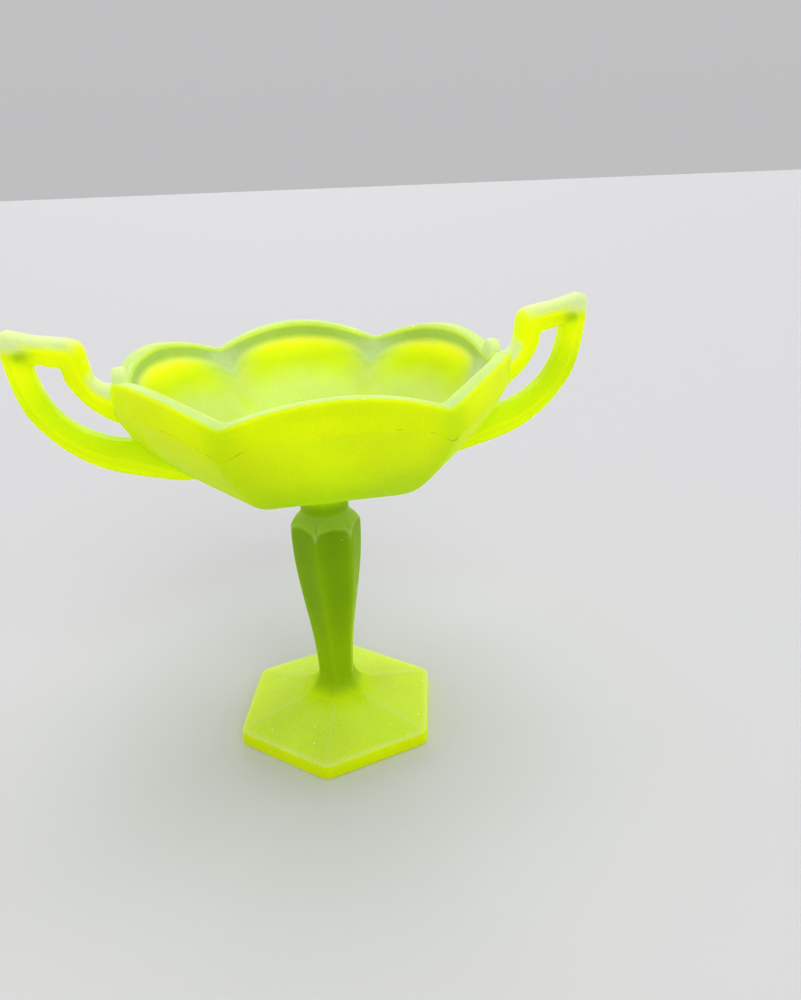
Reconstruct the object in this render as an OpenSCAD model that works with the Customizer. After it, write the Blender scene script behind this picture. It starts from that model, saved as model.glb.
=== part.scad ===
// Two-handled footed comport in satin uranium glass, millimetres.
// +Z is up, +X runs along the two handles, and the origin is the centre of the foot on the table.
// The bowl has six arched scallops. The six-sided stem and foot were joined to it hot, a little turned.

/* [Bowl] */
// Radius of the round band under the rim
band_r = 68.2; // [66:0.1:70]
// Height of the top of each scallop above the table
scallop_top = 151.4; // [149:0.1:154]
// How far each scallop rises between its two low points
scallop_rise = 8.6; // [5:0.1:11]
// Height at which the flat side panels meet the band, at the middle of a side
panel_top = 141.6; // [140:0.1:143]
// Angle of the flat side panels above level
panel_angle = 52.2; // [48:0.1:56]
// Radius of the bend from a side panel to the underside
bend_r = 16; // [14:0.5:20]
// Height of the bend's centre
bend_z = 125.3; // [124:0.1:127]
// Angle of the underside above level
under_angle = 16; // [12:0.5:18]
// Thickness of the wall at the rim
wall = 5.4; // [4.5:0.1:6.5]
// Thickness of the glass under the middle of the bowl
floor_t = 7; // [5:0.5:9]

/* [Handles] */
// Thickness of each handle, measured across it
handle_t = 10; // [8:0.5:11]
// Radius of the half-round rib that crosses the rim at each handle
rib_r = 4.2; // [3:0.1:5]
// Height of the top of that rib
rib_top = 151; // [149.5:0.1:151.4]
// Length of that rib, inwards from just short of the band's face
rib_len = 6.4; // [6:0.1:9]

/* [Stem] */
// Corner radius of the stem at its waist, just over the foot
waist_r = 7.7; // [6.5:0.1:9]
// Corner radius of the stem at its shoulder
shoulder_r = 13.9; // [12:0.1:15]
// Height of the shoulder
shoulder_z = 85.5; // [82:0.5:87]
// Height of the top of the stem
stem_top = 92; // [90:0.5:94]
// Radius of the neck at its narrowest
neck_r = 9; // [8:0.1:9.6]
// Turn of the stem and foot against the bowl, in degrees
twist = -14.7; // [-30:0.1:30]

/* [Foot] */
// Corner radius of the six-sided foot before its corners are rounded
foot_r = 42.7; // [40:0.1:46]
// Radius of the rounded corners
foot_corner_r = 5; // [2:0.5:8]
// Height of the upright edge of the foot
foot_edge = 6.3; // [5:0.1:8]
// Angle of the foot's top faces above level
foot_slope = 14; // [12:0.5:16]
// Radius of the hollow sweep from the foot up into the stem
sweep_r = 11.4; // [9:0.1:13]

/* [Hidden] */
$fn = 96;
// Distance from a hexagon's centre to its side, for a corner radius of 1
flat = cos(30);
// Extra length of a tool solid past the part that it cuts or crosses
over = 10;

// Distance that the rib stops short of the band's outer face
rib_short = 0.3;

// Bowl: centre of the bend, where the bend ends on the underside, and the seat on the neck
bend_x = band_r - (panel_top - bend_z) / tan(panel_angle) - bend_r / sin(panel_angle);
bend_foot = [bend_x + bend_r * sin(under_angle), bend_z - bend_r * cos(under_angle)];
seat_r = 11.5;
seat_z = bend_foot[1] - (bend_foot[0] - seat_r) * tan(under_angle);
// Radius and centre height of the circle that each scallop follows
chord = band_r / 2;
scallop_r = (chord * chord + scallop_rise * scallop_rise) / (2 * scallop_rise);
scallop_z = scallop_top - scallop_r;

// Stem: apothem of the six-sided section from the waist (t = 0) to the shoulder (t = 1)
waist_z = foot_edge + 16.4;
waist_flat = waist_r * flat;
function ease(t) = t * t * (3 - 2 * t);
function shaft_flat(t) = waist_flat + (shoulder_r * flat - waist_flat) * ease(t);

// Foot: where a top face turns into the sweep
sweep_x = waist_flat + sweep_r * (1 - sin(foot_slope));
foot_flat = foot_r * flat;
sweep_z = foot_edge + (foot_flat - sweep_x) * tan(foot_slope);

// Points of a cubic curve from a to d, pulled towards b and c
curve_steps = 8;
function cubic(a, b, c, d) = [
    for (i = [0 : curve_steps])
        let (t = i / curve_steps, s = 1 - t)
        s * s * s * a + 3 * s * s * t * b + 3 * s * t * t * c + t * t * t * d
];

// A half outline of points, from the bottom up, with its mirror image back down the other side
function both_sides(half) = concat(half, [
    for (i = [len(half) - 1 : -1 : 0])
        [-half[i][0], half[i][1]]
]);

// Six-sided solid: the same upright outline carried straight across at three angles, and what they share
module six_sided(across) {
    intersection_for (turn = [0, 60, 120])
        rotate([90, 0, turn])
            linear_extrude(height = 4 * across, center = true)
                children();
}

// Outline of the bowl's side panels and underside: one half and its mirror image, sharing the axis
module cup_outline() {
    bend = [bend_x, bend_z];
    steep = bend_r * [sin(panel_angle), -cos(panel_angle)];
    high = scallop_top + over;
    top_x = bend[0] + steep[0] + (high - bend[1] - steep[1]) / tan(panel_angle);
    for (side = [0, 1])
        mirror([side, 0]) {
            polygon([
                [-1, seat_z],
                [seat_r, seat_z],
                bend_foot,
                bend + steep,
                [top_x, high],
                [-1, high]
            ]);
            translate(bend)
                circle(r = bend_r);
        }
}

// The bowl's outer shape, filled solid: six flat panels under a round band, and six arches on top
module bowl_block() {
    intersection() {
        translate([0, 0, seat_z])
            cylinder(r = band_r, h = scallop_top - seat_z);
        rotate([0, 0, 90])
            six_sided(band_r)
                cup_outline();
        union() {
            for (turn = [0, 60, 120])
                rotate([90, 0, turn])
                    translate([0, scallop_z, 0])
                        cylinder(r = scallop_r, h = 3 * band_r, center = true);
        }
    }
}

// The smooth round hollow that the plunger leaves
module bowl_hollow() {
    hollow_r = band_r - wall;
    bend = bend_r - wall;
    steep_x = bend_x + bend * sin(panel_angle);
    steep_z = bend_z - bend * cos(panel_angle);
    knee_z = steep_z + (hollow_r - steep_x) * tan(panel_angle);
    rotate_extrude()
        intersection() {
            union() {
                polygon([
                    [0, seat_z + floor_t],
                    [bend_x + bend * sin(under_angle), bend_z - bend * cos(under_angle)],
                    [steep_x, steep_z],
                    [hollow_r, knee_z],
                    [hollow_r, scallop_top + over],
                    [0, scallop_top + over]
                ]);
                translate([bend_x, bend_z])
                    circle(r = bend);
            }
            translate([0, seat_z])
                square([band_r, scallop_top]);
        }
}

module bowl() {
    color([0.78, 0.93, 0.05])
        difference() {
            bowl_block();
            bowl_hollow();
        }
}

// Outside line of a handle: level root, upright, grip bar, tip, and the long arc back under the bowl
module handle_outline() {
    difference() {
        polygon(concat(
            [[64, 138], [64, 145.3]],
            cubic([70.3, 145.3], [73.8, 145.3], [74.4, 148.7], [74.7, 153.5]),
            cubic([74.9, 156.6], [75.5, 159.6], [77.6, 160.6], [81, 161.3]),
            cubic([84, 161.8], [88, 162.2], [92.2, 163.6], [95.9, 164.7]),
            cubic([97.5, 165.2], [99.8, 164.9], [100.6, 162.7], [100, 159.3]),
            cubic([99.2, 154.5], [98.3, 145.5], [96.9, 139.6], [90.6, 130.3]),
            cubic([89.5, 128.6], [84.5, 122.1], [76.5, 117.7], [67.2, 114.5]),
            [[54, 110.9], [45.5, 109.2], [45.5, 114]]
        ));
        handle_gap();
    }
}

// Opening of a handle, a slanted crescent that runs down to the bowl
module handle_gap() {
    polygon(concat(
        [[88.6, 154.3], [82.4, 152.4]],
        cubic([82, 149.4], [82, 142.2], [77, 136.2], [66.5, 132.5]),
        [[60, 130.2], [60, 125.2]],
        cubic([66.6, 125.6], [77.2, 127.3], [87.9, 134.3], [90.7, 146.5]),
        [[91.8, 152], [90.6, 154.2]]
    ));
}

// Half-round rib that crosses the rim on the handle's centre plane
module rim_rib() {
    rib_z = rib_top - rib_r;
    start = band_r - rib_len - rib_short;
    translate([start, 0, rib_z])
        rotate([0, 90, 0])
            cylinder(r = rib_r, h = rib_len);
    translate([start, -rib_r, rib_z - rib_r])
        cube([rib_len, 2 * rib_r, rib_r]);
}

module handle_right() {
    color([0.82, 0.95, 0.12])
        difference() {
            union() {
                rotate([90, 0, 0])
                    linear_extrude(height = handle_t, center = true)
                        handle_outline();
                rim_rib();
            }
            bowl_block();
        }
}

module handle_left() {
    mirror([1, 0, 0])
        handle_right();
}

// Round neck: the short waist of glass where the bowl and the stem were joined hot
module neck() {
    height = seat_z - stem_top;
    curl = seat_r - neck_r;
    color([0.5, 0.68, 0.05])
        translate([0, 0, stem_top])
            rotate_extrude()
                difference() {
                    square([seat_r, height]);
                    translate([seat_r, height - curl])
                        circle(r = curl);
                    translate([neck_r, -1])
                        square([seat_r, height - curl + 1]);
                }
}

module stem() {
    shoulder = [shoulder_r * flat, shoulder_z];
    shaft = [
        for (i = [0 : 12])
            let (t = i / 12)
            [shaft_flat(t), waist_z + t * (shoulder_z - waist_z)]
    ];
    cap = cubic(shoulder + [0, 0.6], shoulder + [0, 3.4], [neck_r + 1.2, stem_top - 2.4], [neck_r, stem_top]);
    color([0.5, 0.68, 0.05])
        rotate([0, 0, twist])
            six_sided(shoulder_r)
                polygon(both_sides(concat(shaft, cap)));
}

// Outline of the foot seen from above, with rounded corners
module foot_plan() {
    inset = foot_corner_r / flat;
    ends = foot_corner_r / 2;
    polygon([
        for (i = [0 : 5], s = [-1, 1])
            let (turn = 60 * i + 30, middle = (foot_r - inset) * [cos(turn), sin(turn)])
            middle + foot_corner_r * [cos(turn + 30 * s), sin(turn + 30 * s)]
    ]);
    for (i = [0 : 5])
        rotate(60 * i + 30)
            translate([foot_r - inset, 0])
                circle(r = foot_corner_r);
}

module foot() {
    color([0.72, 0.86, 0.15])
        rotate([0, 0, twist])
            intersection() {
                linear_extrude(height = waist_z)
                    foot_plan();
                six_sided(foot_r)
                    difference() {
                        polygon(both_sides([
                            [foot_flat, 0],
                            [foot_flat, foot_edge],
                            [sweep_x, sweep_z],
                            [sweep_x, waist_z]
                        ]));
                        for (side = [-1, 1])
                            translate([side * (waist_flat + sweep_r), waist_z])
                                circle(r = sweep_r);
                    }
            }
}

bowl();
handle_left();
handle_right();
neck();
stem();
foot();
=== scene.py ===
"""Two-handled footed comport in satin uranium glass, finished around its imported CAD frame.

Each section below makes one piece, from the table up: foot, stem, neck, bowl, handles.
Shapes are worked out in millimetres and put into their meshes in metres.
"""

import bpy
import numpy as np
from mathutils import Matrix, Vector


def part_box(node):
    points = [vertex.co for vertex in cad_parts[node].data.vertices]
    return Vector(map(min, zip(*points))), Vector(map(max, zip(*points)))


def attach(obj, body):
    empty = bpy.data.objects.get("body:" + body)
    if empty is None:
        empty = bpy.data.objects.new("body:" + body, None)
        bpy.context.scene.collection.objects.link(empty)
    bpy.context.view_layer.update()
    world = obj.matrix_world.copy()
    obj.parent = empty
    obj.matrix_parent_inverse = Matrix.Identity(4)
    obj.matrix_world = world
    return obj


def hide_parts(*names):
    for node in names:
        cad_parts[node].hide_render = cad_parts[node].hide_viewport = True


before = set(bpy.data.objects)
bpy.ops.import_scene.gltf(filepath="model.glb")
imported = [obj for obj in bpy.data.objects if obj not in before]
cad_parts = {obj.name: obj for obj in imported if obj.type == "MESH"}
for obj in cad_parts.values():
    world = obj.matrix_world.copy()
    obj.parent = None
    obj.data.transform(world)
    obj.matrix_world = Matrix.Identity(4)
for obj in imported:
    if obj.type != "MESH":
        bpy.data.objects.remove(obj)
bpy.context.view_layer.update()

# ---------------------------------------------------------------- Foot
# The foot is a solid six-sided slab of pressed glass, etched to a satin all over. Six low faces rise
# from its upright edge and sweep up into the stem, and it was joined to the stem while hot, a little
# turned against the bowl. It rests on the table on its flat underside.
MM = 0.001  # one millimetre in the meshes' metres
TWIST = np.radians(-14.7)  # turn of the stem and foot against the bowl
foot_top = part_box("foot")[1]  # high corner of its box, in metres
foot_edge = 6.3  # height of the upright edge
foot_slope = 14  # angle of the six faces above level, in degrees
sweep_r = 11.4  # radius of the hollow sweep up into the stem
waist_flat = 6.67  # from the axis to a side, where the stem starts
waist_z = foot_top.z / MM
foot_flat = 36.98  # from the axis to a side, at the foot of the upright edge


def around(count):
    """Azimuths of one turn, counter-clockwise from +X, in radians."""
    return np.linspace(0, 2 * np.pi, count, endpoint=False)


def six_sided(azimuth, first_side, sharpness):
    """Radius of a hexagon with soft corners whose sides are 1 from the axis: the sum over the six sides
    of max(cos(azimuth - side), 0) ^ sharpness, to the power -1 / sharpness."""
    sides = first_side + np.radians(60) * np.arange(6)
    facing = np.maximum(np.cos(azimuth[..., None] - sides), 0)
    return np.sum(facing ** np.asarray(sharpness)[..., None], axis=-1) ** (-1 / np.asarray(sharpness))


def arc(centre, radius, start, end, count):
    """Points on a circle from one angle to another, in degrees: centre + radius * (cos, sin)."""
    angle = np.radians(np.linspace(start, end, count))
    return np.stack([centre[0] + radius * np.cos(angle), centre[1] + radius * np.sin(angle)], axis=-1)


def line(start, end, count):
    """Evenly spaced points from start up to, but not at, end."""
    return np.linspace(start, end, count, endpoint=False)


def turned(azimuth, radius, height):
    """Rings of points at (radius cos azimuth, radius sin azimuth, height)."""
    azimuth, radius, height = np.broadcast_arrays(azimuth, radius, height)
    return np.stack([radius * np.cos(azimuth), radius * np.sin(azimuth), height], axis=-1)


def closed_skin(name, rings, material, **marks):
    """A closed mesh over a grid of rings: quads between neighbouring points, and a fan from the first
    and the last ring to a pole at its centre. Each mark is a number per point, kept as an attribute."""
    count, across, _ = rings.shape
    points = np.vstack([rings.reshape(-1, 3), rings[[0, -1]].mean(axis=1)]) * MM
    here = np.arange(count * across).reshape(count, across)
    beside = np.roll(here, -1, axis=1)
    quads = np.stack([here[:-1], beside[:-1], beside[1:], here[1:]], axis=-1).reshape(-1, 4)
    first_pole = np.full(across, count * across)
    fans = np.vstack(
        [
            np.stack([beside[0], here[0], first_pole], axis=-1),
            np.stack([here[-1], beside[-1], first_pole + 1], axis=-1),
        ]
    )
    mesh = bpy.data.meshes.new(name)
    mesh.from_pydata(points.tolist(), [], quads.tolist() + fans.tolist())
    for mark, values in marks.items():
        values = np.broadcast_to(values, (count, across))
        values = np.concatenate([values.ravel(), values[0, :1], values[-1, :1]])
        mesh.attributes.new(mark, "FLOAT", "POINT").data.foreach_set("value", values.astype(np.float32))
    mesh.shade_smooth()
    mesh.update()
    mesh.materials.append(material)
    piece = bpy.data.objects.new(name, mesh)
    bpy.context.scene.collection.objects.link(piece)
    return piece


def ease(value):
    """Smooth step from 0 to 1: 3 v^2 - 2 v^3, held at its ends."""
    value = np.clip(value, 0, 1)
    return value * value * (3 - 2 * value)


def satin_glass(name, body, roughness, fluorescence_and_painted_glow, dust):
    """Etched uranium glass. The colour goes from the body tint towards DEEP by the mark
    thickness, then towards PAINTED_GLOW_YELLOW by the painted glow of the mark glow
    and towards FROST_HIGHLIGHT by the paler satin and painted highlight of the mark frost, and is
    multiplied by soft clouds and a fine grain. Specks lie in the share of small cells that dust gives, a
    few scratches lie among them, and dirt lies where the mark grime is set. Light goes through it and is
    absorbed on the way."""
    material = bpy.data.materials.new(name)
    material.use_nodes = True
    nodes, links = material.node_tree.nodes, material.node_tree.links
    shader = nodes["Principled BSDF"]

    def feed(socket, value):
        """Links a value to a socket, or sets it there if it is a plain number or colour."""
        if isinstance(value, bpy.types.NodeSocket):
            links.new(value, socket)
        else:
            socket.default_value = value

    def add(kind, settings=None, **inputs):
        """A new node with its settings, and with its inputs fed by name."""
        node = nodes.new(kind)
        for key, value in (settings or {}).items():
            setattr(node, key, value)
        for key, value in inputs.items():
            feed(node.inputs[key.replace("_", " ")], value)
        return node

    def ramp(value, low, high, to_low, to_high):
        """The value carried from low and high over to to_low and to_high, as a smooth step held there."""
        ends = {"From_Min": low, "From_Max": high, "To_Min": to_low, "To_Max": to_high}
        node = add("ShaderNodeMapRange", {"interpolation_type": "SMOOTHSTEP"}, Value=value, **ends)
        return node.outputs["Result"]

    def wave(noise, to_low, to_high):
        """A noise carried over to a range, as a smooth step over the 0.3 to 0.7 that it mostly keeps to."""
        return ramp(noise, 0.3, 0.7, to_low, to_high)

    def blend(first, second, share):
        """The colour first + share * (second - first)."""
        node = add("ShaderNodeMix", {"data_type": "RGBA"})
        # Input 0 of this node is the share, and inputs 6 and 7 and output 2 are its colours
        for socket, value in ((0, share), (6, first), (7, (*second, 1))):
            feed(node.inputs[socket], value)
        return node.outputs[2]

    def product(first, second):
        """The number first * second."""
        node = add("ShaderNodeMath", {"operation": "MULTIPLY"})
        feed(node.inputs[0], first)
        feed(node.inputs[1], second)
        return node.outputs[0]

    def mark(kind):
        """The number that the mesh keeps under this name at each point, 0 where it keeps none."""
        return add("ShaderNodeAttribute", {"attribute_name": kind}).outputs["Fac"]

    place = add("ShaderNodeTexCoord").outputs["Object"]
    clouds = add("ShaderNodeTexNoise", Vector=place, Scale=34.0, Detail=3.0).outputs["Fac"]
    patches = add("ShaderNodeTexNoise", Vector=place, Scale=210.0, Detail=4.0).outputs["Fac"]
    grain = add("ShaderNodeTexNoise", Vector=place, Scale=2400.0, Detail=2.0).outputs["Fac"]
    specks = add("ShaderNodeTexVoronoi", Vector=place, Scale=150.0)
    slant = add("ShaderNodeMapping", Vector=place, Rotation=(0.3, 0.2, 0.0), Scale=(260.0, 260.0, 45.0))
    scratches = add("ShaderNodeTexVoronoi", Vector=slant.outputs[0], Scale=1.0)

    colour = blend((*body, 1), DEEP, mark("thickness"))
    colour = blend(colour, PAINTED_GLOW_YELLOW, mark("glow"))
    colour = blend(colour, FROST_HIGHLIGHT, product(mark("frost"), wave(patches, 0.88, 1.1)))
    mottle = 0.025 + 0.055 * dust
    shade = product(wave(clouds, 0.94, 1.05), wave(grain, 1 - mottle, 1 + mottle))
    colour = add("ShaderNodeHueSaturation", Color=colour, Value=shade).outputs["Color"]
    for cells, reach, bare_share in ((specks, 0.08, 1 - dust), (scratches, 0.11, 0.965)):
        pick = add("ShaderNodeSeparateColor", Color=cells.outputs["Color"]).outputs["Red"]
        chosen = ramp(pick, bare_share, bare_share + 0.01, 0.0, 1.0)
        close = ramp(cells.outputs["Distance"], 0.5 * reach, reach, 0.9, 0.0)
        colour = blend(colour, DUST, product(close, chosen))
    colour = blend(colour, DIRT, product(ramp(patches, 0.5, 0.62, 0.0, 0.6), mark("grime")))

    swell = add("ShaderNodeBump", Height=clouds, Strength=0.25, Distance=0.0008)
    etch = add("ShaderNodeBump", Height=grain, Strength=0.3, Distance=0.00006)
    links.new(swell.outputs["Normal"], etch.inputs["Normal"])

    links.new(colour, shader.inputs["Base Color"])
    links.new(colour, shader.inputs["Emission Color"])
    links.new(wave(patches, roughness - 0.05, roughness + 0.05), shader.inputs["Roughness"])
    links.new(etch.outputs["Normal"], shader.inputs["Normal"])
    # Emission in the glass's own colour makes it glow without a lamp: a painted glow that lifts it in
    # shade, beside the faint real fluorescence of uranium glass
    shader.inputs["Emission Strength"].default_value = fluorescence_and_painted_glow
    shader.inputs["IOR"].default_value = 1.4
    shader.inputs["Specular IOR Level"].default_value = 0.06
    shader.inputs["Specular Tint"].default_value = (0.85, 1.0, 0.45, 1)
    shader.inputs["Transmission Weight"].default_value = 0.38
    absorb = nodes.new("ShaderNodeVolumeAbsorption")
    absorb.inputs["Color"].default_value = (0.78, 0.92, 0.05, 1)
    absorb.inputs["Density"].default_value = 70
    links.new(absorb.outputs[0], nodes["Material Output"].inputs["Volume"])
    shader.inputs["Subsurface Weight"].default_value = 0.85
    shader.inputs["Subsurface Radius"].default_value = (0.8, 1.0, 0.12)
    shader.inputs["Subsurface Scale"].default_value = 0.008
    shader.inputs["Sheen Weight"].default_value = 0.7
    shader.inputs["Sheen Roughness"].default_value = 0.25
    shader.inputs["Sheen Tint"].default_value = (0.7, 1.0, 0.0, 1)
    return material


# DEEP is the glass's own deep green where it is thick; the same mark also carries painted shade, and
# painted light where it is lowered
DEEP = (0.185, 0.335, 0.0)  # where the glass is thick
# PAINTED_GLOW_YELLOW is a painted glow: yellow put where light seems to gather in the glass
PAINTED_GLOW_YELLOW = (0.97, 0.92, 0.0)  # where it gathers light
# FROST_HIGHLIGHT is a paler satin tone, put on as a painted highlight where surfaces face the overhead
# light
FROST_HIGHLIGHT = (0.60, 0.67, 0.43)  # where the etched skin catches the light, or is worn
DUST = (0.85, 0.97, 0.6)
DIRT = (0.14, 0.17, 0.02)
foot_glass = satin_glass("foot_glass", (0.53, 0.74, 0.0), roughness=0.56, fluorescence_and_painted_glow=0.24, dust=0.9)

base_round = 0.9  # at the bottom of the upright edge
edge_round = 1.2  # at its top
edge_in = foot_flat - 0.4  # the upright edge leans in a little
overlap = 0.4  # how far foot, stem and neck run into each other
stem_sharpness = 17.0  # of the stem's corners
slope_x = waist_flat + sweep_r * (1 - np.sin(np.radians(foot_slope)))
slope_z = foot_edge + (foot_flat - slope_x) * np.tan(np.radians(foot_slope))
foot_line = np.vstack(
    [
        line((8, 0), (foot_flat - 1.2, 0), 4),
        arc((foot_flat - base_round, base_round), base_round, 270, 360, 7),
        line((foot_flat, base_round + 0.2), (edge_in, foot_edge - edge_round), 6),
        arc((edge_in - edge_round, foot_edge - edge_round), edge_round, 0, 90 - foot_slope, 8),
        line((edge_in - 1.6, foot_edge + 0.24), (slope_x, slope_z), 24),
        arc((waist_flat + sweep_r, waist_z), sweep_r, 270 - foot_slope, 180, 28),
        [(waist_flat - 0.1, waist_z + overlap)],
    ]
)
azimuth = around(240)
flat, height = foot_line[:, 0, None], foot_line[:, 1, None]
# Corners are soft at the stem, crisp on the slope, and softer again at the upright edge
sharpness = stem_sharpness + 55 * ease((flat - 7.5) / 8) - 34 * ease((flat - 31) / 5)
radius = flat * six_sided(azimuth + 0 * flat, TWIST, sharpness + 0 * azimuth)
# The foot's top, its upper rounded edge and its corner ridges are painted paler as highlights, and its
# upright edge and outer top are painted yellower as a painted glow
on_top = ease((height - foot_edge) / 0.6)
on_edge = ease((flat - 35.6) / 1) * ease((foot_edge + 0.5 - height) / 1)
edge_band = ease((height - 5.1) / 0.8) * ease((flat - foot_flat + 2.6) / 1.2)
off_corner = np.abs((azimuth - TWIST) % (np.pi / 3) - np.pi / 6) * radius
corner_line = np.exp(-((off_corner / 0.9) ** 2)) * ease((flat - 10) / 4) * on_top
foot = closed_skin(
    "satin_foot",
    turned(azimuth, radius, height),
    foot_glass,
    thickness=0.75 * ease((11.4 - flat) / 4.7) * (height > 1),
    glow=0.13 * on_edge + 0.1 * ease((flat - 9) / 6),
    frost=0.11 * on_top * ease((flat - 10) / 9) + 0.3 * edge_band + 0.14 * corner_line,
)
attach(foot, "root")
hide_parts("foot")

# ---------------------------------------------------------------- Stem
# The stem is a solid six-sided baluster, pressed in one with nothing hollow in it. It swells from the
# waist over the foot to a shoulder, where a rounded cap closes in to the neck and dips to a small point
# on each corner. Being the thickest glass, it looks the deepest green.
stem_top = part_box("stem")[1].z / MM
shoulder_flat = 12.04  # from the axis to a side, at the shoulder
shoulder_z = 85.5
neck_r = 9.0
stem_turn = np.radians(-10)  # how far the shoulder is turned against the waist
stem_glass = satin_glass("stem_glass", (0.50, 0.74, 0.0), roughness=0.54, fluorescence_and_painted_glow=0.22, dust=0.5)


def cubic(start, first_pull, second_pull, end, step):
    """A cubic curve at the shares s of step: (1 - s)^3 start + 3 (1 - s)^2 s first pull + 3 (1 - s) s^2
    second pull + s^3 end."""
    return (
        (1 - step) ** 3 * start
        + 3 * (1 - step) ** 2 * step * first_pull
        + 3 * (1 - step) * step**2 * second_pull
        + step**3 * end
    )


azimuth = around(216)
# 0 at the middle of a side and 1 at a corner, where the cap's lower edge dips to a point
to_corner = 1 - np.abs(np.degrees(azimuth % (np.pi / 3)) - 30) / 30
crease_z = 88.2 - 1.2 * to_corner - 0.6 * to_corner**4 - 1.6 * to_corner**14
climb = np.linspace(0, 1, 70)[:, None]
height = waist_z + climb * (crease_z - waist_z)
rise = ease((height - waist_z) / (shoulder_z - waist_z))
fullness = 1 + 0.14 * climb * (1 - climb)
shaft_flat = (waist_flat + (shoulder_flat - waist_flat) * rise) * fullness
shaft = shaft_flat * six_sided(azimuth, 0, stem_sharpness)
turn = TWIST + stem_turn * rise
edge_r, edge_z = shaft[-1], height[-1]
step = np.linspace(0, 1, 26)[1:, None]
cap_r = cubic(edge_r, edge_r - 0.9, neck_r + 0.6, neck_r, step)
cap_z = cubic(edge_z, edge_z + 1.7, stem_top - 1.7, stem_top, step)
# The first and the last ring reach a little way into the foot and the neck
radius = np.vstack([shaft[:1] - 0.1, shaft, cap_r, cap_r[-1:] - 0.1])
height = np.vstack([height[:1] - overlap, height, cap_z, cap_z[-1:] + overlap])
turn = np.vstack([turn[:1], turn, turn[-1:] + 0 * cap_r[:, :1], turn[-1:]])
# The cap, which faces up, is painted lighter and paler as a highlight, and so is a small drop under the cap
# at each corner
on_cap = ease((height - crease_z + 0.4) / 0.8)
# The shaft's corners are painted a little lighter, as painted light
painted_corner_light = 0.15 * to_corner**2 * ease((height - 26) / 20) * (1 - on_cap)
corner_drop = to_corner**14 * np.exp(-(((height - crease_z + 0.3) / 1.2) ** 2))
stem = closed_skin(
    "satin_stem",
    turned(azimuth + turn, radius, height),
    stem_glass,
    thickness=0.75 + 0.25 * ease((height - 30) / 30) - 0.35 * on_cap - painted_corner_light,
    glow=0.0,
    frost=0.1 * on_cap + 0.5 * corner_drop,
)
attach(stem, "root")
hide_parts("stem")

# ---------------------------------------------------------------- Neck
# The neck is the short round waist of glass where the bowl and the stem were joined hot. It flares
# into the underside of the bowl, where it is painted lighter and yellower, a painted glow carried on from
# the bowl.
neck_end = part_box("neck")[1]
seat_z = neck_end.z / MM  # where the neck meets the bowl
flare = neck_end.x / MM - neck_r  # radius of the hollow curve under the bowl
neck_line = np.vstack(
    [
        line((neck_r - 0.3, stem_top - 0.5), (neck_r, stem_top), 2),
        line((neck_r, stem_top), (neck_r, seat_z - flare), 10),
        arc((neck_r + flare, seat_z - flare), flare, 180, 95, 12),
        line((neck_r + flare, seat_z + 0.05), (neck_r + flare + 0.4, seat_z + 0.6), 2),
    ]
)
azimuth = around(120)
radius, height = neck_line[:, 0, None], neck_line[:, 1, None]
neck = closed_skin(
    "satin_neck",
    turned(azimuth, radius, height),
    stem_glass,
    thickness=0.65 + 0.2 * ease((height - 91.5) / 2) - 0.85 * ease((height - 94) / 5),
    glow=0.25 * ease((height - 96) / 4),
    frost=0.0,
)
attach(neck, "root")
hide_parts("neck")

# ---------------------------------------------------------------- Bowl
# The bowl was pressed in a mould: six flat sides bend in to the neck under a round band, the rim rises
# in six arched scallops, and the plunger left the inside smooth and round. The wall is densest in the
# band, and a yellow glow is painted just under the band, as painted light gathered there.
bowl_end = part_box("bowl")[1]
band_r = bowl_end.y / MM  # outside radius of the round band
wall = 5.4  # thickness at the rim
rim_round = 1.2  # radius of the rim's two edges
scallop_r = 71.9  # radius of the circle that each scallop follows
scallop_z = bowl_end.z / MM - scallop_r
bowl_glass = satin_glass("bowl_glass", (0.42, 0.64, 0.0), roughness=0.54, fluorescence_and_painted_glow=0.24, dust=0.2)


def smooth_line(points, count):
    """A curve through the points, evenly spaced along its length: between each two of them a cubic whose
    end slopes are half the step from the point before to the point after."""
    points = np.asarray(points, float)
    ends = np.vstack([2 * points[0] - points[1], points, 2 * points[-1] - points[-2]])
    step = np.linspace(0, 1, 24, endpoint=False)[None, :, None]
    before, start, end, after = (ends[i : len(ends) - 3 + i, None] for i in range(4))
    curve = 0.5 * (
        2 * start
        + (end - before) * step
        + (2 * before - 5 * start + 4 * end - after) * step**2
        + (3 * start - before - 3 * end + after) * step**3
    )
    curve = np.vstack([curve.reshape(-1, points.shape[1]), points[-1:]])
    length = np.concatenate([[0], np.cumsum(np.linalg.norm(np.diff(curve, axis=0), axis=1))])
    along = np.linspace(0, length[-1], count)
    return np.stack([np.interp(along, length, curve[:, k]) for k in range(points.shape[1])], axis=-1)


# Radius and height of the ridge where two sides meet, from the neck up to past the band
ridge = smooth_line(
    [
        (11.5, 101.8), (24, 104.9), (35, 107.3), (43, 109.2), (49, 111.8), (53.8, 115.1),
        (59.2, 120.3), (64.1, 126.0), (67.7, 131.7), (69.9, 137), (71.8, 142), (73.4, 147),
    ],
    400,
)
ridge[:, 1] += seat_z - ridge[0, 1]
azimuth = around(384)
off_side = (azimuth % (np.pi / 3)) - np.pi / 6
# A hexagon with crisp corners, 1 from the axis at its corners
hexagon = six_sided(azimuth, np.pi / 6, 110.0) * np.cos(np.pi / 6)
steps = np.linspace(0, 1, len(ridge))


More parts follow.
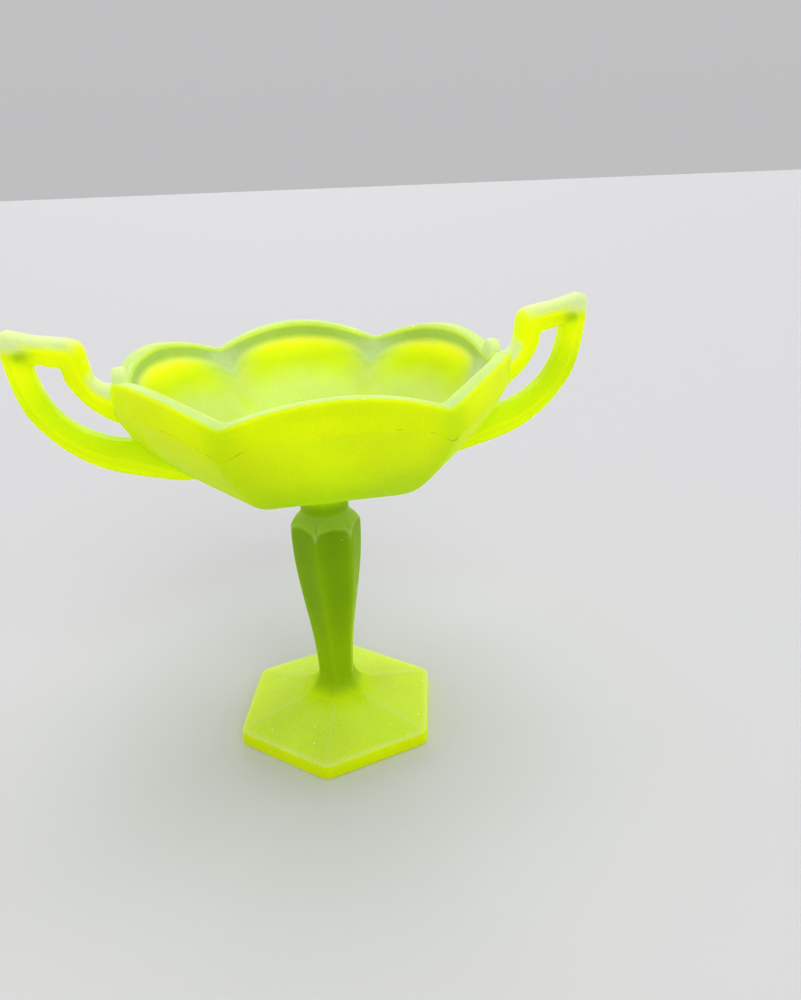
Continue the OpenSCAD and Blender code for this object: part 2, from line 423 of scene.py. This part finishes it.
def outer_surface(share):
    """Radius and height of the bowl's outside at a share of the ridge: the ridge's radius times a mix of
    a hexagon and a circle. The circle's part falls from 1 over 12 mm from the seat, and grows again by
    0.0217 for each millimetre of height above 113."""
    radius = np.interp(share, steps, ridge[:, 0])
    height = np.interp(share, steps, ridge[:, 1])
    at_seat = 1 - ease((radius - ridge[0, 0]) / 12)
    at_band = 0.0217 * np.maximum(height - 113, 0)
    roundness = np.maximum(at_seat, at_band)
    return radius * (roundness + (1 - roundness) * hexagon), height


# Share of the ridge at which each column reaches the band, by halving the interval
low, high = np.full_like(azimuth, 0.5), np.ones_like(azimuth)
for _ in range(30):
    middle = (low + high) / 2
    inside = outer_surface(middle)[0] < band_r
    low, high = np.where(inside, middle, low), np.where(inside, high, middle)
crease_share = low
crease_z = outer_surface(crease_share)[1]
off_corner = np.pi / 6 - np.abs(off_side)


def rim_height(radius):
    """Height of the scallops at a radius: scallop_z + the root of scallop_r^2 - (radius sin a)^2, where a
    is the angle from the middle of the side, with a soft turn where two scallops meet."""
    soft = np.radians(1.1)
    folded = np.pi / 6 - np.sqrt(off_corner**2 + soft**2) + 0.35 * soft
    return scallop_z + np.sqrt(scallop_r**2 - (radius * np.sin(folded)) ** 2)


# Rings from the seat up the sides, over the groove under the band, up the band and over the rim
share = (1 - (1 - np.linspace(0, 1, 62)[:, None]) ** 1.15) * crease_share
side_r, side_z = outer_surface(share)
groove = 0.16 * np.abs(off_side / (np.pi / 6)) ** 2 + 0.04
groove_r = np.stack([band_r - groove, band_r - 0.4 * groove, band_r + 0 * groove])
groove_z = np.stack([crease_z + 0.15, crease_z + 0.5, crease_z + 1.1])
band_top = rim_height(band_r) - rim_round
band_share = np.linspace(0, 1, 9)[1:-1, None]
band_z = groove_z[-1] + band_share * (band_top - groove_z[-1])
outer_turn = np.radians(np.linspace(0, 90, 7))[:, None]
outer_r = band_r - rim_round + rim_round * np.cos(outer_turn) + 0 * azimuth
outer_z = rim_height(outer_r) - rim_round + rim_round * np.sin(outer_turn)
top_r = np.linspace(band_r - rim_round, band_r - wall + rim_round, 5)[1:-1, None] + 0 * azimuth
inner_turn = np.radians(np.linspace(90, 180, 7))[:, None]
inner_r = band_r - wall + rim_round + rim_round * np.cos(inner_turn) + 0 * azimuth
inner_z = rim_height(inner_r) - rim_round + rim_round * np.sin(inner_turn)

# Outline of the smooth hollow, from above the rim down to the middle of the floor
bend = np.array([35.31, 125.3])  # centre of the bend from the wall to the floor
bend_r = 10.6
side_slope, floor_slope = 52.2, 16  # above level, in degrees
floor_thick = 7.05
steep = np.radians(side_slope)
knee = bend + bend_r * np.array([np.sin(steep), -np.cos(steep)])
hollow_r = band_r - wall
wall_foot = (hollow_r, knee[1] + (hollow_r - knee[0]) * np.tan(steep))
hollow = np.vstack(
    [
        line((hollow_r, bowl_end.z / MM + 1.6), wall_foot, 60),
        line(wall_foot, knee, 120),
        arc(bend, bend_r, 270 + side_slope, 270 + floor_slope, 30),
        np.linspace((38.1, 115.07), (1.0, seat_z + floor_thick), 140),
    ]
)
hollow_length = np.concatenate([[0], np.cumsum(np.linalg.norm(np.diff(hollow, axis=0), axis=1))])
hollow_share = hollow_length / hollow_length[-1]
start = np.interp(-inner_z[-1], -hollow[:, 1], hollow_share)
inside_share = start + np.linspace(0, 1, 66)[1:, None] * (1 - start)
inside_r = np.interp(inside_share, hollow_share, hollow[:, 0])
inside_z = np.interp(inside_share, hollow_share, hollow[:, 1])
# A low fold runs down the inside between each two scallops
corner = np.exp(-((off_corner / np.radians(4.5)) ** 2))
between = np.exp(-((off_corner / np.radians(8)) ** 2))
fold = 0.75 * corner * ease((141 - inside_z) / 6) * ease((inside_r - 14) / 16)
inside_r = inside_r - fold

radius = np.vstack([side_r, groove_r, band_r + 0 * band_z, outer_r, top_r, inner_r, inside_r])
height = np.vstack([side_z, groove_z, band_z, outer_z, rim_height(top_r), inner_z, inside_z])
ring = np.arange(len(radius))[:, None]
is_inside = ring >= len(radius) - len(inside_r)
in_crease = (ring == len(side_r)) * 1.0
under_band = crease_z - height
on_rim = ease((band_r - 0.5 - radius) / 0.8) * ease((height - rim_height(radius) + 1.5) / 0.8)
# Painted glow of light inside under the band, most at the middle of each side, thinning out towards the
# floor
mid_side = 1 - np.clip(np.abs(off_side) / np.radians(27), 0, 1) ** 2
under_band_glow = ease((under_band + 4.5) / 3) * np.exp(-np.maximum(under_band + 2, 0) / 6) * mid_side
inner_glow = np.maximum(under_band_glow, 0.3 * ease((under_band + 2) / 4))
# Outside, the sides are painted yellower towards the band as a painted glow of light from within, with less
# under the corners as painted shade
outer_glow = 0.5 * ease((height - 106) / 32) * (1 - 0.45 * corner * ease((height - 118) / 12))
on_fold = 0.35 * between * ease((height - 122) / 8)
inner_thickness = 0.6 * ease((-2 - under_band) / 2) + on_fold
# Inside, the band and the lower hollow are painted paler and greyer as a painted highlight, and the folds
# are darker and paler
inner_frost = 0.3 * ease(-under_band / 3) + 0.42 * ease((under_band - 4) / 12) + on_fold
# The rim's top is painted paler as a highlight and less yellow
bowl = closed_skin(
    "satin_bowl",
    turned(azimuth, radius, height),
    bowl_glass,
    thickness=np.where(is_inside, inner_thickness, 0.0),
    glow=np.where(is_inside, inner_glow, outer_glow * (1 - 0.8 * on_rim)),
    frost=np.where(is_inside, inner_frost, 0.55 * on_rim),
    grime=in_crease * ease((np.abs(np.degrees(off_side)) - 9) / 6),
)
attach(bowl, "root")
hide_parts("bowl")

# ------------------------------------------------------------- Handles
# Each handle was pressed with the bowl as one looped bar: a short level root, an upright, a grip bar to
# the tip, and a long arc back under the bowl. Its corners are soft, and a low ridge runs along both its
# faces. A half-round rib carries the line of each handle over the rim.
handle_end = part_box("handle_right")[1]
half_thick = handle_end.y / MM
handle_glass = satin_glass("handle_glass", (0.56, 0.74, 0.0), roughness=0.53, fluorescence_and_painted_glow=0.26, dust=0.3)

# Outer and inner edge of the bar at the same station, as x and height, from the upper root to the lower
stations = np.array(
    [
        (63.8, 145.2, 64.0, 131.6), (68.4, 145.2, 68.0, 133.1), (71.3, 145.7, 72.4, 135.9),
        (73.8, 148.4, 77.6, 141.0), (74.7, 153.0, 81.6, 147.6), (75.1, 156.6, 82.3, 150.8),
        (76.2, 159.4, 82.6, 152.2), (78.6, 160.8, 83.5, 152.9), (83.5, 161.8, 86.0, 153.6),
        (90.0, 162.9, 89.2, 154.4), (94.9, 164.3, 90.8, 154.4), (98.0, 165.0, 91.4, 153.9),
        (99.9, 163.7, 91.6, 153.1), (100.1, 160.5, 91.7, 152.0), (99.4, 153.5, 91.4, 149.6),
        (97.8, 144.5, 90.0, 144.0), (95.2, 137.0, 87.0, 138.0), (90.6, 130.2, 82.4, 132.8),
        (84.5, 123.8, 76.3, 128.8), (76.5, 118.2, 69.5, 126.2), (67.2, 114.5, 63.0, 125.2),
        (57.0, 111.8, 57.5, 122.0), (50.0, 110.2, 52.5, 118.4), (44.0, 110.2, 48.5, 115.6),
    ]
)
bar = smooth_line(stations, 260)
outward = bar[:, :2] - bar[:, 2:]
outward = outward / np.linalg.norm(outward, axis=1)[:, None]
fuller = 0.35  # added to each side of the bar, to make up for its rounded section
outer_edge, inner_edge = bar[:, :2] + fuller * outward, bar[:, 2:] - fuller * outward
to_box = np.array([handle_end.x, handle_end.z]) / MM - outer_edge.max(axis=0)
outer_edge, inner_edge = outer_edge + to_box, inner_edge + to_box

# Section: |across|^5 + |proud|^5 = 1, evenly spaced, with a low ridge outside the middle of each face
squareness = 5
fine = np.linspace(0, 2 * np.pi, 4001)
across = np.sign(np.cos(fine)) * np.abs(np.cos(fine)) ** (2 / squareness)
proud = np.sign(np.sin(fine)) * np.abs(np.sin(fine)) ** (2 / squareness)
length = np.concatenate([[0], np.cumsum(np.hypot(np.diff(across), np.diff(proud)))])
even = np.linspace(0, length[-1], 72, endpoint=False)
across, proud = np.interp(even, length, across), np.interp(even, length, proud)
ridge_at = 0.1
ridge_line = np.exp(-(((across - ridge_at) / 0.1) ** 2))
beyond_ridge = ease((across - ridge_at) / 0.2)
proud = proud * (0.955 - 0.1 * np.abs(across) + 0.045 * ridge_line - 0.03 * beyond_ridge) * half_thick


def handle_rings(side):
    """Rings of the bar's section, on the side +1 (right) or -1 (left): middle of the bar plus across
    times half the way to its outer edge, standing proud along Y."""
    middle = (outer_edge + inner_edge)[:, None] / 2
    reach = (outer_edge - inner_edge)[:, None] / 2 * across[None, :, None]
    out, up = np.moveaxis(middle + reach, -1, 0)
    return np.stack([side * out, -side * proud + 0 * out, up], axis=-1)


rib_r = 4.2
rib_top = 151.0
# Share of the rib's full radius, and distance from the axis, from its inner end to its outer one
rib_line = np.vstack(
    [
        [(0.02, 62.5)],
        [(0.4, 62.55), (0.7, 62.75), (0.88, 63.1), (0.97, 63.5)],
        np.stack([np.ones(6), np.linspace(64.0, 65.2, 6)], axis=-1),
        [(0.985, 65.9), (0.94, 66.6), (0.86, 67.15), (0.72, 67.5), (0.4, 67.65), (0.02, 67.7)],
    ]
)


def rib_rings(side):
    """Rings of the rib, along X: circles of the rib's radius times its share at each place. Their lower
    halves are sunk in the rim."""
    angle = around(48)
    share, along = rib_line[:, 0, None], side * rib_line[:, 1, None] + 0 * angle
    over = share * rib_r * np.cos(angle)
    up = rib_top - rib_r + share * rib_r * np.sin(angle)
    return np.stack([along, side * over, up + 0 * along], axis=-1)


# How far the outer edge faces up at each station: 1 straight up, -1 straight down
facing = outward[:, None, 1]
# Faces turned up are painted paler as a highlight; the edges and the ridge are painted yellower as a
# painted glow
top_face = ease((facing - 0.68) / 0.27) * ease((across - 0.2) / 0.4)
upper_glow = 0.34 * ease((facing + 0.2) / 0.7)
lower_glow = 0.2 * ease((across - 0.02) / 0.2) * ease(-3 * facing)
for name, side in (("right", 1), ("left", -1)):
    rings = handle_rings(side)
    out, height = side * rings[..., 0], rings[..., 2]
    # A darker spot where the grip bar meets the tip is painted shade; the tip itself is painted paler as a
    # highlight
    tip_painted_shade = np.exp(-(((out - 94) / 3.5) ** 2 + ((height - 157.5) / 2.5) ** 2))
    at_tip = ease((out - 88) / 8) * ease((height - 157.5) / 4)
    handle = closed_skin(
        "satin_handle_" + name,
        rings,
        handle_glass,
        thickness=0.12 * ease((-0.3 - across) / 0.5) + 0.5 * tip_painted_shade,
        glow=(0.08 + upper_glow + lower_glow + 0.2 * ridge_line) * (1 - tip_painted_shade),
        frost=np.maximum(0.85 * top_face, 0.9 * at_tip),
    )
    # The rib is painted pale all over as a highlight
    rim_rib = closed_skin(
        "rim_rib_" + name,
        rib_rings(side),
        handle_glass,
        thickness=0.0,
        glow=0.0,
        frost=0.8,
    )
    for piece in (handle, rim_rib):
        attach(piece, "root")
        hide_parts("handle_" + name)

# -------------------------------------------------------------- Studio
# A plain pale paper table and an even pale room. One far soft light stands overhead, one in front, one
# low on each side, and one behind, which shows how the glass lets light through.
half_table = 12.0  # metres
table_corners = [(x * half_table, y * half_table, 0) for x, y in ((-1, -1), (1, -1), (1, 1), (-1, 1))]
table_mesh = bpy.data.meshes.new("table")
table_mesh.from_pydata(table_corners, [], [(0, 1, 2, 3)])
table = bpy.data.objects.new("table", table_mesh)
bpy.context.scene.collection.objects.link(table)
paper = bpy.data.materials.new("table_paper")
paper.use_nodes = True
paper_shader = paper.node_tree.nodes["Principled BSDF"]
paper_shader.inputs["Base Color"].default_value = (0.55, 0.55, 0.56, 1)
paper_shader.inputs["Roughness"].default_value = 0.9
table_mesh.materials.append(paper)

# The room goes from one pale grey at the table's level to a slightly lighter one overhead
world = bpy.data.worlds.new("room")
world.use_nodes = True
room_nodes, room_links = world.node_tree.nodes, world.node_tree.links
direction = room_nodes.new("ShaderNodeTexCoord")
steepness = room_nodes.new("ShaderNodeSeparateXYZ")
greys = room_nodes.new("ShaderNodeValToRGB")
level_grey, high_grey = greys.color_ramp.elements
level_grey.color = (0.52, 0.52, 0.53, 1)
high_grey.color = (0.57, 0.57, 0.58, 1)
high_grey.position = 0.8
room_links.new(direction.outputs["Generated"], steepness.inputs["Vector"])
room_links.new(steepness.outputs["Z"], greys.inputs["Fac"])
room_links.new(greys.outputs["Color"], room_nodes["Background"].inputs["Color"])
bpy.context.scene.world = world


def soft_light(name, place, spread, strength, colour):
    """A far soft light that shines from a place towards the origin, as wide as the spread in degrees."""
    light = bpy.data.lights.new(name, "SUN")
    light.angle = np.radians(spread)
    light.energy = strength
    light.color = colour
    lamp = bpy.data.objects.new(name, light)
    bpy.context.scene.collection.objects.link(lamp)
    aim = -Vector(place)
    lamp.matrix_world = Matrix.Translation(place) @ aim.to_track_quat("-Z", "Y").to_matrix().to_4x4()


WHITE = (1, 1, 1)
WARM_WHITE = (1, 1, 0.97)
soft_light("overhead", (0.1, 0.1, 1.0), 50, 1.26, WHITE)
soft_light("front_fill", (0.15, -1.0, 0.8), 40, 1.05, WHITE)
soft_light("left_side", (-0.8, 0.45, 0.15), 34, 0.3, WARM_WHITE)
soft_light("right_side", (0.85, 0.35, 0.15), 34, 0.5, WARM_WHITE)
soft_light("back_light", (0.1, 1.1, 0.4), 42, 0.65, WARM_WHITE)

# -------------------------------------------------------------- Camera
# The camera stands a little above the rim and looks down at the comport from the front left. Its three
# angles, in radians, are its turn to the right, its tilt downwards, and its roll.
camera_place = (-0.02755, -0.27908, 0.20838)
yaw, pitch, roll = 0.2003, 0.3930, -0.0363
forward = np.array([np.sin(yaw) * np.cos(pitch), np.cos(yaw) * np.cos(pitch), -np.sin(pitch)])
level = np.array([np.cos(yaw), -np.sin(yaw), 0])
upward = np.cross(level, forward)
right = np.cos(roll) * level + np.sin(roll) * upward
up = np.cos(roll) * upward - np.sin(roll) * level
camera_data = bpy.data.cameras.new("camera")
camera_data.lens = 28.97
camera_data.shift_y = 0.0037
camera_data.clip_start = 0.01
camera = bpy.data.objects.new("camera", camera_data)
bpy.context.scene.collection.objects.link(camera)
aim = Matrix(np.stack([right, up, -forward], axis=-1).tolist()).to_4x4()
camera.matrix_world = Matrix.Translation(camera_place) @ aim
bpy.context.scene.camera = camera
bpy.context.scene.view_settings.view_transform = "Standard"
